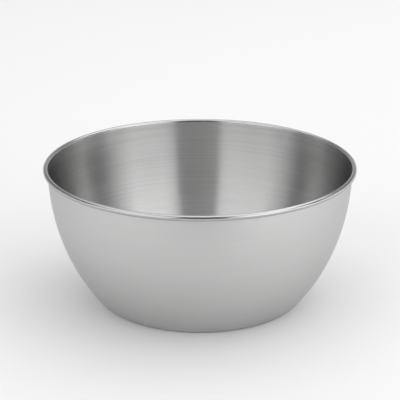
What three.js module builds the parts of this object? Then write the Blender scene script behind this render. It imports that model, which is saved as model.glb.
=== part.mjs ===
// A salad bowl pressed from one sheet of stainless steel, its edge rolled outwards round a stiffening wire.
// Millimetres, +Z up. The origin is on the table, under the middle of the base.
import * as THREE from "three";

// Driving dimensions
const RIM_DIAMETER = 240; // over the rolled rim
const HEIGHT = 107; // from the table to the top of the rolled rim
const SHEET = 0.6; // thickness of the pressed sheet
const WIRE_DIAMETER = 2.4; // the wire inside the rolled rim
const WIRE_CLEARANCE = 0.2; // between the wire and the sheet that is rolled round it
const RIM_SLIT = 0.3; // between the sheet's cut edge and the wall under the rim
const HEEL_RADIUS = 80.6; // outside of the bowl where its wall turns into its base
const HEEL_HEIGHT = 1.8; // height of that turn above the table
const WALL_SWEEP = THREE.MathUtils.degToRad(46.2); // angle of the ellipse that the wall follows
const FOOT_WIDTH = 11; // width of the flat ring that the bowl stands on
const PUSH_UP = 1; // how far the middle of the base is raised above the table

// How finely the round shapes are divided
const TURN_STEPS = 64; // round the bowl's axis
const WIRE_SIDES = 12; // round the wire
const STEPS = { base: 4, foot: 1, heel: 4, wall: 10, curl: 10 }; // along the sheet

// The rolled rim: the sheet goes most of the way round the wire and stops short of the wall
const curlInside = WIRE_DIAMETER / 2 + WIRE_CLEARANCE;
const curlOutside = curlInside + SHEET;
const curlEnd = -Math.PI / 2 - Math.asin((curlInside - RIM_SLIT) / curlOutside);
const rimRadius = RIM_DIAMETER / 2 - curlOutside; // to the middle of the wire
const rimHeight = HEIGHT - curlOutside;

// The wall: an ellipse about a centre level with the wire, so that the wall stands upright where the rim starts
const wallTop = rimRadius - curlInside;
const wallAcross = (wallTop - HEEL_RADIUS) / (1 - Math.cos(WALL_SWEEP));
const wallDown = (rimHeight - HEEL_HEIGHT) / Math.sin(WALL_SWEEP);

// The base: the wall's last direction carries on down to the table, and a curve rounds off the corner there
const heelSlope = Math.atan((Math.tan(WALL_SWEEP) * wallAcross) / wallDown);
const cornerRadius = HEEL_RADIUS - HEEL_HEIGHT * Math.tan(heelSlope);
const footOuter = cornerRadius - HEEL_HEIGHT / Math.cos(heelSlope);
const footInner = footOuter - FOOT_WIDTH;

// The sheet's outer face from the middle of the base to its cut edge, as tangent curves of radius and height
function sheetCurves() {
  const point = (radius, height) => new THREE.Vector2(radius, height);
  const middle = point(0, PUSH_UP);
  const bend = footInner / 2;
  const footStart = point(footInner, 0);
  const footEnd = point(footOuter, 0);
  const heel = point(HEEL_RADIUS, HEEL_HEIGHT);
  const wallCentre = wallTop - wallAcross;
  return {
    base: new THREE.CubicBezierCurve(middle, point(bend, PUSH_UP), point(bend, 0), footStart),
    foot: new THREE.LineCurve(footStart, footEnd),
    heel: new THREE.QuadraticBezierCurve(footEnd, point(cornerRadius, 0), heel),
    wall: new THREE.EllipseCurve(wallCentre, rimHeight, wallAcross, wallDown, -WALL_SWEEP, 0),
    curl: new THREE.EllipseCurve(rimRadius, rimHeight, curlInside, curlInside, Math.PI, curlEnd, true),
  };
}

// The sheet's closed outline: along its outer face, across the cut edge and back along its inner face
function sheetOutline() {
  const outer = [new THREE.Vector2(0, PUSH_UP)];
  const inner = [new THREE.Vector2(0, PUSH_UP + SHEET)];
  for (const [name, curve] of Object.entries(sheetCurves())) {
    for (let step = 1; step <= STEPS[name]; step++) {
      const place = curve.getPoint(step / STEPS[name]);
      const along = curve.getTangent(step / STEPS[name]);
      outer.push(place);
      inner.push(new THREE.Vector2(place.x - SHEET * along.y, place.y + SHEET * along.x));
    }
  }
  return [...outer, ...inner.reverse()];
}

function bowlShell() {
  const satinSteel = new THREE.MeshStandardMaterial({ color: 0xc3c3c1, roughness: 0.4, metalness: 1 });
  const shell = new THREE.Mesh(new THREE.LatheGeometry(sheetOutline(), TURN_STEPS), satinSteel);
  shell.name = "bowl_shell";
  shell.rotation.x = Math.PI / 2;
  return shell;
}

function rimWire() {
  const drawnSteel = new THREE.MeshStandardMaterial({ color: 0xa9a9a7, roughness: 0.3, metalness: 1 });
  const ring = new THREE.TorusGeometry(rimRadius, WIRE_DIAMETER / 2, WIRE_SIDES, TURN_STEPS);
  const wire = new THREE.Mesh(ring, drawnSteel);
  wire.name = "rim_wire";
  wire.position.z = rimHeight;
  return wire;
}

const saladBowl = new THREE.Group();
saladBowl.add(bowlShell(), rimWire());

export default saladBowl;
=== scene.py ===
"""The looks of a stainless-steel salad bowl: its pressed sheet, the wire in its rim, and a plain studio."""
import math

import bpy
from mathutils import Matrix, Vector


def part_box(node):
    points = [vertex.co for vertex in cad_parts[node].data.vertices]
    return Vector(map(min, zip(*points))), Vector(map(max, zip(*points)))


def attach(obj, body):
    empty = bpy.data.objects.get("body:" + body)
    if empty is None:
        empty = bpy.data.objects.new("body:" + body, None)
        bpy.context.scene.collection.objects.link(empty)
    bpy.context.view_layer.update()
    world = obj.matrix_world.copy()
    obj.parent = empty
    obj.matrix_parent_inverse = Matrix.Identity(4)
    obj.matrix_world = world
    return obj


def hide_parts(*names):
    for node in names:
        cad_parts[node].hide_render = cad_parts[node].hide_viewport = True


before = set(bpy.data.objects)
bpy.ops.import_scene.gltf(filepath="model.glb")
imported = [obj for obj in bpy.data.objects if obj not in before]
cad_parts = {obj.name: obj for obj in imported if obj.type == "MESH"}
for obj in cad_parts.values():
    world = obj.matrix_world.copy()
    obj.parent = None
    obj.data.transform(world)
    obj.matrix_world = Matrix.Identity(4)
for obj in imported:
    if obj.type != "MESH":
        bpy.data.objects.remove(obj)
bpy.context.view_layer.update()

# Sizes from the frame, in metres
shell_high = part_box("bowl_shell")[1]
wire_low, wire_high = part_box("rim_wire")
RIM_RADIUS = shell_high.x
WIRE_RADIUS = (wire_high.z - wire_low.z) / 2
WIRE_RING = wire_high.x - WIRE_RADIUS
WIRE_HEIGHT = (wire_high.z + wire_low.z) / 2

# The sheet: its thickness, its base and heel, the angle that its wall sweeps through, and its rolled rim
SHEET = 0.0006
PUSH_UP = 0.001
FOOT_WIDTH = 0.011
HEEL_RADIUS = 0.0806
HEEL_HEIGHT = 0.0018
WALL_SWEEP = math.radians(46.2)
CURL_OUTSIDE = RIM_RADIUS - WIRE_RING
CURL_INSIDE = CURL_OUTSIDE - SHEET
WALL_TOP_RADIUS = WIRE_RING - CURL_INSIDE
RIM_SLIT = 0.0003

# The joint of the wire: the gap between its ends, their bevel, and how near two points are merged
WIRE_JOINT = 0.0003
WIRE_END_BEVEL = 0.0002
WIRE_END_STEPS = 2
SAME_POINT = WIRE_JOINT / 100

# How finely the sheet and the wire are divided, and the sharpest edge that is shaded smooth
TURN_STEPS = 256
BASE_STEPS = 10
FOOT_STEPS = 3
HEEL_STEPS = 8
WALL_STEPS = 36
CURL_STEPS = 28
WIRE_SIDES = 16
SMOOTH_EDGE = math.radians(40)

# The numbers of the bowl's finishes, and how far outside the wall the rim's begins
OUTSIDE, INSIDE, RIM = range(3)
RIM_MARGIN = SHEET * 0.2

# The brushing: the spacing of its lines in metres, their strength, and how often one changes on its way round
FINE_LINES = 0.0004
COARSE_LINES = 0.0013
FINE_SHARE = 0.5
STRONGEST_LINE = 0.12
LINE_CHANGES = 0.8
NOISE_MIDDLE = 0.5

# What all the steels share: blue as a part of red and green, and the turn that stretches reflections across lines
BLUE_SHARE = 0.995
ACROSS_LINES = 0.25

# The camera, from the photograph's viewing angle
CAMERA_DISTANCE = 1.1
CAMERA_ELEVATION = math.radians(18.247)
CAMERA_PITCH = math.radians(19.646)
CAMERA_LENS = 128.8
CAMERA_SENSOR = 36

# Brightness of the softboxes, and of the light that comes from all round
LEFT_LIGHT = 1.215
RIGHT_LIGHT = 1.4175
TOP_LIGHT = 1.75
BACK_LIGHT = 0.4
FRONT_LIGHT = 0.8
ROOM_LIGHT = 0.26

# Brightness of the small softboxes on each side: low beside the bowl, high beside it, and low behind it
LEFT_SIDE_LIGHTS = (1.2, 0.16, 0.5)
RIGHT_SIDE_LIGHTS = (2.2, 0.45, 1.3)

# The floor, and the tilt in degrees that stands a lamp or a card upright
FLOOR_SIZE = 12
FLOOR_GREY = 0.9
UPRIGHT = 90


class Value:
    """A socket that can be used in sums: each operator adds one Math node."""

    def __init__(self, nodes, socket):
        self.nodes = nodes
        self.socket = socket

    def math(self, operation, *sockets):
        inputs = dict(enumerate(sockets))
        return self.nodes.add("ShaderNodeMath", {"operation": operation}, inputs)

    def __add__(self, other):
        return self.math("ADD", self, other)

    def __sub__(self, other):
        return self.math("SUBTRACT", self, other)

    def __rsub__(self, other):
        return self.math("SUBTRACT", other, self)

    def __mul__(self, other):
        return self.math("MULTIPLY", self, other)

    def __truediv__(self, other):
        return self.math("DIVIDE", self, other)

    def least(self, other):
        return self.math("MINIMUM", self, other)

    __radd__ = __add__
    __rmul__ = __mul__


class Nodes:
    """The nodes of one material, lamp or world."""

    def __init__(self, owner):
        owner.use_nodes = True
        self.tree = owner.node_tree
        self.tree.nodes.clear()

    def add(self, kind, settings, sockets, output=0):
        """Adds a node with its settings and its sockets' values or links, and gives one of its outputs."""
        node = self.tree.nodes.new(kind)
        for name, value in settings.items():
            setattr(node, name, value)
        for name, value in sockets.items():
            if isinstance(value, Value):
                self.tree.links.new(value.socket, node.inputs[name])
            else:
                node.inputs[name].default_value = value
        return Value(self, node.outputs[output]) if node.outputs else None


def grey(level):
    return (level, level, level, 1)


def round_coordinates(nodes):
    """Distance from the bowl's axis, height, and a point that goes round a circle of radius 1."""
    place = nodes.add("ShaderNodeTexCoord", {}, {}, "Object")
    flat = nodes.add("ShaderNodeVectorMath", {"operation": "MULTIPLY"}, {0: place, 1: (1, 1, 0)})
    radius = nodes.add("ShaderNodeVectorMath", {"operation": "LENGTH"}, {0: flat}, "Value")
    height = nodes.add("ShaderNodeSeparateXYZ", {}, {0: place}, "Z")
    heading = nodes.add("ShaderNodeVectorMath", {"operation": "NORMALIZE"}, {0: flat})
    return radius, height, heading


def brush_lines(nodes, along, heading, spacing):
    """Lines that run round the bowl, a given spacing apart, each fading after a part of a turn."""
    round_part = nodes.add("ShaderNodeVectorMath", {"operation": "SCALE"}, {0: heading, "Scale": LINE_CHANGES})
    up_part = nodes.add("ShaderNodeCombineXYZ", {}, {"Z": along / spacing})
    point = nodes.add("ShaderNodeVectorMath", {"operation": "ADD"}, {0: round_part, 1: up_part})
    return nodes.add("ShaderNodeTexNoise", {}, {"Vector": point, "Scale": 1.0, "Detail": 1.0})


def steel(name, shade, shade_lines, rough, rough_lines, fine_relief, coarse_relief, stretch, grazing=1):
    """A brushed metal whose grey, roughness and relief vary with the lines of its brushing.

    The reliefs are heights in metres. Stretch, from 0 to 1, is how far reflections are drawn out across the
    lines, and grazing is the share of a plain metal's reflection that is left at grazing angles.
    """
    material = bpy.data.materials.new(name)
    nodes = Nodes(material)
    radius, height, heading = round_coordinates(nodes)
    fine = brush_lines(nodes, radius + height, heading, FINE_LINES)
    coarse = brush_lines(nodes, radius + height, heading, COARSE_LINES)
    uneven = FINE_SHARE * (fine - NOISE_MIDDLE) + (coarse - NOISE_MIDDLE)
    lines = nodes.add("ShaderNodeClamp", {}, {"Value": uneven, "Min": -STRONGEST_LINE, "Max": STRONGEST_LINE})
    level = shade + shade_lines * lines
    colour = nodes.add("ShaderNodeCombineColor", {}, {0: level, 1: level, 2: level * BLUE_SHARE})
    relief = fine_relief * fine + coarse_relief * coarse
    metal = nodes.add("ShaderNodeBsdfPrincipled", {}, {
        "Base Color": colour,
        "Metallic": 1.0,
        "Roughness": rough + rough_lines * lines,
        "Normal": nodes.add("ShaderNodeBump", {}, {"Distance": 1.0, "Height": relief}),
        "Anisotropic": stretch,
        "Anisotropic Rotation": ACROSS_LINES,
        "Specular Tint": grey(grazing),
    })
    nodes.add("ShaderNodeOutputMaterial", {}, {"Surface": metal})
    return material


def bowl_steels():
    """The finishes of the outside, the inside and the rolled rim, in the order of their numbers."""
    satin = steel(
        "outside_satin", shade=0.59, shade_lines=0.05, rough=0.45, rough_lines=0.04,
        fine_relief=2e-6, coarse_relief=1e-5, stretch=0.3, grazing=0.82)
    brushed = steel(
        "inside_brushed", shade=0.615, shade_lines=0.2, rough=0.31, rough_lines=0.3,
        fine_relief=4e-6, coarse_relief=1.2e-5, stretch=1.0, grazing=0.4)
    polished = steel(
        "rim_polished", shade=0.48, shade_lines=0.025, rough=0.18, rough_lines=0.03,
        fine_relief=1e-6, coarse_relief=1e-6, stretch=0.0, grazing=0.75)
    return satin, brushed, polished


def wire_steel():
    """The finish of the wire, which is drawn and not polished."""
    return steel(
        "drawn_wire", shade=0.56, shade_lines=0.07, rough=0.3, rough_lines=0.05,
        fine_relief=2e-6, coarse_relief=5e-6, stretch=0.6)


def sheet_profile():
    """Radius and height along the sheet's outer face, from the middle of the base to its cut edge."""
    across = (WALL_TOP_RADIUS - HEEL_RADIUS) / (1 - math.cos(WALL_SWEEP))
    down = (WIRE_HEIGHT - HEEL_HEIGHT) / math.sin(WALL_SWEEP)
    slope = math.atan(math.tan(WALL_SWEEP) * across / down)
    corner = HEEL_RADIUS - HEEL_HEIGHT * math.tan(slope)
    foot_outer = corner - HEEL_HEIGHT / math.cos(slope)
    foot_inner = foot_outer - FOOT_WIDTH
    curl_end = -math.pi / 2 - math.asin((CURL_INSIDE - RIM_SLIT) / CURL_OUTSIDE)

    def base(t):
        """A gentle curve from the pushed-up middle, level at both ends."""
        bend = foot_inner / 2
        radius = 3 * (1 - t) * t * bend + t ** 3 * foot_inner
        return radius, PUSH_UP * ((1 - t) ** 3 + 3 * (1 - t) ** 2 * t)

    def foot(t):
        """The flat ring that the bowl stands on."""
        return foot_inner + FOOT_WIDTH * t, 0

    def heel(t):
        """The bend from the foot into the wall."""
        radius = (1 - t) ** 2 * foot_outer + 2 * (1 - t) * t * corner + t ** 2 * HEEL_RADIUS
        return radius, t ** 2 * HEEL_HEIGHT

    def wall(t):
        """A part of an ellipse, upright at the rim."""
        angle = WALL_SWEEP * (1 - t)
        return WALL_TOP_RADIUS - across * (1 - math.cos(angle)), WIRE_HEIGHT - down * math.sin(angle)

    def curl(t):
        """The roll round the wire, which stops short of the wall by the slit."""
        angle = math.pi + (curl_end - math.pi) * t
        return WIRE_RING + CURL_INSIDE * math.cos(angle), WIRE_HEIGHT + CURL_INSIDE * math.sin(angle)

    stretches = [
        (base, BASE_STEPS), (foot, FOOT_STEPS), (heel, HEEL_STEPS), (wall, WALL_STEPS), (curl, CURL_STEPS)]
    return [curve(step / steps) for curve, steps in stretches for step in range(1, steps + 1)]


def deselect_all():
    bpy.ops.object.select_all(action="DESELECT")


def finish_of(face):
    """The number of a face's finish, from its place and the way it points."""
    radius = face.center.to_2d().length
    if face.center.z > WIRE_HEIGHT or radius > WALL_TOP_RADIUS + RIM_MARGIN:
        return RIM
    outward = face.normal.to_2d().dot(face.center.to_2d()) / max(radius, SHEET) - face.normal.z
    return OUTSIDE if outward > 0 else INSIDE


def bowl_piece():
    """A disc for the middle of the base, pulled out ring by ring along the profile, then thickened."""
    deselect_all()
    rings = sheet_profile()
    radius, height = rings[0]
    bpy.ops.mesh.primitive_circle_add(
        vertices=TURN_STEPS, radius=radius, fill_type="TRIFAN", location=(0, 0, height), enter_editmode=True)
    bowl = bpy.context.object
    bowl.name = "satin_bowl"
    bpy.ops.mesh.select_mode(type="EDGE")
    bpy.ops.mesh.region_to_loop()
    for next_radius, next_height in rings[1:]:
        bpy.ops.mesh.extrude_region_move(TRANSFORM_OT_translate={"value": (0, 0, next_height - height)})
        growth = next_radius / radius
        bpy.ops.transform.resize(value=(growth, growth, 1), center_override=(0, 0, next_height))
        radius, height = next_radius, next_height
    bpy.ops.object.mode_set(mode="OBJECT")
    bpy.ops.object.transform_apply(location=True, rotation=True, scale=True)
    middle = min(bowl.data.vertices, key=lambda v: v.co.to_2d().length)
    middle.co.z = PUSH_UP
    thicken = bowl.modifiers.new("thickness", "SOLIDIFY")
    thicken.thickness = SHEET
    thicken.offset = 1
    thicken.use_even_offset = True
    bpy.ops.object.modifier_apply(modifier=thicken.name)
    bpy.ops.object.shade_smooth_by_angle(angle=SMOOTH_EDGE)
    for finish in bowl_steels():
        bowl.data.materials.append(finish)
    for face in bowl.data.polygons:
        face.material_index = finish_of(face)
    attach(bowl, "root")
    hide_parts("bowl_shell")


def wire_piece():
    """A circle across the wire, spun round the bowl's axis until the wire's two ends almost meet at the back."""
    deselect_all()
    bpy.ops.mesh.primitive_circle_add(
        vertices=WIRE_SIDES, radius=WIRE_RADIUS,
        location=(0, WIRE_RING, WIRE_HEIGHT), rotation=(0, math.pi / 2, 0))
    wire = bpy.context.object
    wire.name = "wire_ring"
    bpy.ops.object.transform_apply(location=True, rotation=True, scale=True)
    bpy.ops.object.mode_set(mode="EDIT")
    bpy.ops.mesh.select_all(action="SELECT")
    turn = 2 * math.pi - WIRE_JOINT / WIRE_RING
    bpy.ops.mesh.spin(steps=TURN_STEPS, angle=turn, center=(0, 0, 0), axis=(0, 0, 1))
    bpy.ops.mesh.select_all(action="SELECT")
    bpy.ops.mesh.remove_doubles(threshold=SAME_POINT)
    bpy.ops.mesh.select_mode(type="EDGE")
    bpy.ops.mesh.select_all(action="DESELECT")
    bpy.ops.mesh.select_non_manifold(extend=False)
    bpy.ops.mesh.fill_holes(sides=WIRE_SIDES)
    bpy.ops.mesh.select_mode(type="FACE")
    bpy.ops.mesh.select_face_by_sides(number=WIRE_SIDES, type="EQUAL", extend=False)
    bpy.ops.mesh.region_to_loop()
    bpy.ops.mesh.bevel(offset=WIRE_END_BEVEL, segments=WIRE_END_STEPS, affect="EDGES")
    bpy.ops.mesh.select_all(action="SELECT")
    bpy.ops.mesh.normals_make_consistent(inside=False)
    bpy.ops.object.mode_set(mode="OBJECT")
    bpy.ops.object.shade_smooth_by_angle(angle=SMOOTH_EDGE)
    wire.data.materials.append(wire_steel())
    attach(wire, "root")
    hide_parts("rim_wire")


def floor():
    deselect_all()
    bpy.ops.mesh.primitive_plane_add(size=FLOOR_SIZE)
    plane = bpy.context.object
    plane.name = "floor"
    material = bpy.data.materials.new("floor")
    nodes = Nodes(material)
    paper = nodes.add("ShaderNodeBsdfDiffuse", {}, {"Color": grey(FLOOR_GREY)})
    nodes.add("ShaderNodeOutputMaterial", {}, {"Surface": paper})
    plane.data.materials.append(material)


def surround():
    """The light that comes from all round."""
    world = bpy.data.worlds.new("studio")
    bpy.context.scene.world = world
    nodes = Nodes(world)
    light = nodes.add("ShaderNodeBackground", {}, {"Color": grey(1), "Strength": ROOM_LIGHT})
    nodes.add("ShaderNodeOutputWorld", {}, {"Surface": light})


def stand(heading, reach, height):
    """A place at a heading from the camera's side, in degrees, that faces the bowl's axis."""
    turn = math.radians(heading)
    spot = Matrix.Translation((reach * math.sin(turn), -reach * math.cos(turn), height))
    return spot @ Matrix.Rotation(turn, 4, "Z")


def softbox(name, heading, reach, height, width, tall, brightness, tilt=UPRIGHT, roll=0):
    """A rectangular lamp that the camera doesn't see, with its tilt and roll in degrees."""
    light = bpy.data.lights.new(name, "AREA")
    light.shape = "RECTANGLE"
    light.size = width
    light.size_y = tall
    light.energy = brightness * math.pi * width * tall
    lamp = bpy.data.objects.new(name, light)
    turn = Matrix.Rotation(math.radians(tilt), 4, "X") @ Matrix.Rotation(math.radians(roll), 4, "Z")
    lamp.matrix_world = stand(heading, reach, height) @ turn
    lamp.visible_camera = False
    bpy.context.collection.objects.link(lamp)
    return light


def fade(light, left_share=1, left_rise=1, right_share=1, right_rise=1):
    """Dims a softbox towards its ends.

    Each end has the share of the brightness that is left there, and the part of the width over which the
    brightness rises to the full one.
    """
    nodes = Nodes(light)
    spot = nodes.add("ShaderNodeNewGeometry", {}, {}, "Parametric")
    across = nodes.add("ShaderNodeSeparateXYZ", {}, {0: spot}, "X")
    left = (left_share + (1 - left_share) / left_rise * across).least(1)
    right = (right_share + (1 - right_share) / right_rise * (1 - across)).least(1)
    glow = nodes.add("ShaderNodeEmission", {}, {"Color": grey(1), "Strength": left * right})
    nodes.add("ShaderNodeOutputLight", {}, {"Surface": glow})


def flag(name, heading, reach, low, high, width, left_shade, right_shade):
    """A dark upright card that keeps the room's light out of one stretch of the bowl's reflections.

    Its shade runs from one grey at its left end to another at its right end.
    """
    deselect_all()
    bpy.ops.mesh.primitive_plane_add(size=1)
    card = bpy.context.object
    card.name = name
    upright = Matrix.Rotation(math.radians(UPRIGHT), 4, "X") @ Matrix.Diagonal((width, high - low, 1, 1))
    card.matrix_world = stand(heading, reach, (low + high) / 2) @ upright
    card.visible_camera = False
    material = bpy.data.materials.new(name)
    nodes = Nodes(material)
    colour = grey(left_shade)
    if left_shade != right_shade:
        place = nodes.add("ShaderNodeTexCoord", {}, {}, "Object")
        across = nodes.add("ShaderNodeSeparateXYZ", {}, {0: place}, "X")
        shade = (left_shade + right_shade) / 2 + (right_shade - left_shade) * across
        colour = nodes.add("ShaderNodeCombineColor", {}, {0: shade, 1: shade, 2: shade})
    paper = nodes.add("ShaderNodeBsdfPrincipled", {}, {"Base Color": colour, "Specular IOR Level": 0})
    nodes.add("ShaderNodeOutputMaterial", {}, {"Surface": paper})
    card.data.materials.append(material)


def studio():
    """Two large panels in front, a light overhead, small lamps at the sides and low down, and dark cards."""
    left = softbox(
        "left_softbox", heading=-49, reach=2.2, height=1.35, width=3.32, tall=2.7,
        brightness=LEFT_LIGHT, roll=8)
    fade(left, left_share=0.12, left_rise=0.4)
    right = softbox(
        "right_softbox", heading=50, reach=2.2, height=1.35, width=3.2, tall=2.7,
        brightness=RIGHT_LIGHT, roll=-15)
    fade(right, left_share=0.285, left_rise=0.276, right_share=0, right_rise=0.395)
    top = softbox(
        "top_softbox", heading=180, reach=1.05, height=2.5, width=5.2, tall=4.0,
        brightness=TOP_LIGHT, tilt=0)
    fade(top, right_share=0.4)
    softbox(
        "back_softbox", heading=180, reach=3.2, height=0.95, width=2.3, tall=1.9,
        brightness=BACK_LIGHT)
    softbox(
        "front_low_softbox", heading=55, reach=2.05, height=0.2, width=2.0, tall=0.4,
        brightness=FRONT_LIGHT)
    flag(
        "camera_flag", heading=1.4, reach=2.3, low=0, high=3.2, width=1.55,
        left_shade=0.24, right_shade=0.09)
    for side, sign, side_lights in (("left", -1, LEFT_SIDE_LIGHTS), ("right", 1, RIGHT_SIDE_LIGHTS)):
        low_light, high_light, rear_light = side_lights
        softbox(
            side + "_low_softbox", heading=sign * 93, reach=2.4, height=0.2, width=2.1, tall=0.4,
            brightness=low_light)
        softbox(
            side + "_side_softbox", heading=sign * 112, reach=2.4, height=1.15, width=0.5, tall=1.1,
            brightness=high_light)
        softbox(
            side + "_rear_softbox", heading=sign * 139, reach=2.4, height=0.2, width=1.84, tall=0.4,
            brightness=rear_light)
        flag(
            side + "_rear_flag", heading=sign * 139, reach=2.4, low=0.4, high=2.0, width=1.84,
            left_shade=0.32, right_shade=0.32)


def camera():
    data = bpy.data.cameras.new("camera")
    data.lens = CAMERA_LENS
    data.sensor_width = CAMERA_SENSOR
    eye = bpy.data.objects.new("camera", data)
    eye.location = (
        0,
        -CAMERA_DISTANCE * math.cos(CAMERA_ELEVATION),
        WIRE_HEIGHT + CAMERA_DISTANCE * math.sin(CAMERA_ELEVATION))
    eye.rotation_euler = (math.pi / 2 - CAMERA_PITCH, 0, 0)
    bpy.context.collection.objects.link(eye)
    bpy.context.scene.camera = eye


bpy.context.scene.view_settings.view_transform = "Standard"
camera()
bowl_piece()
wire_piece()
floor()
surround()
studio()
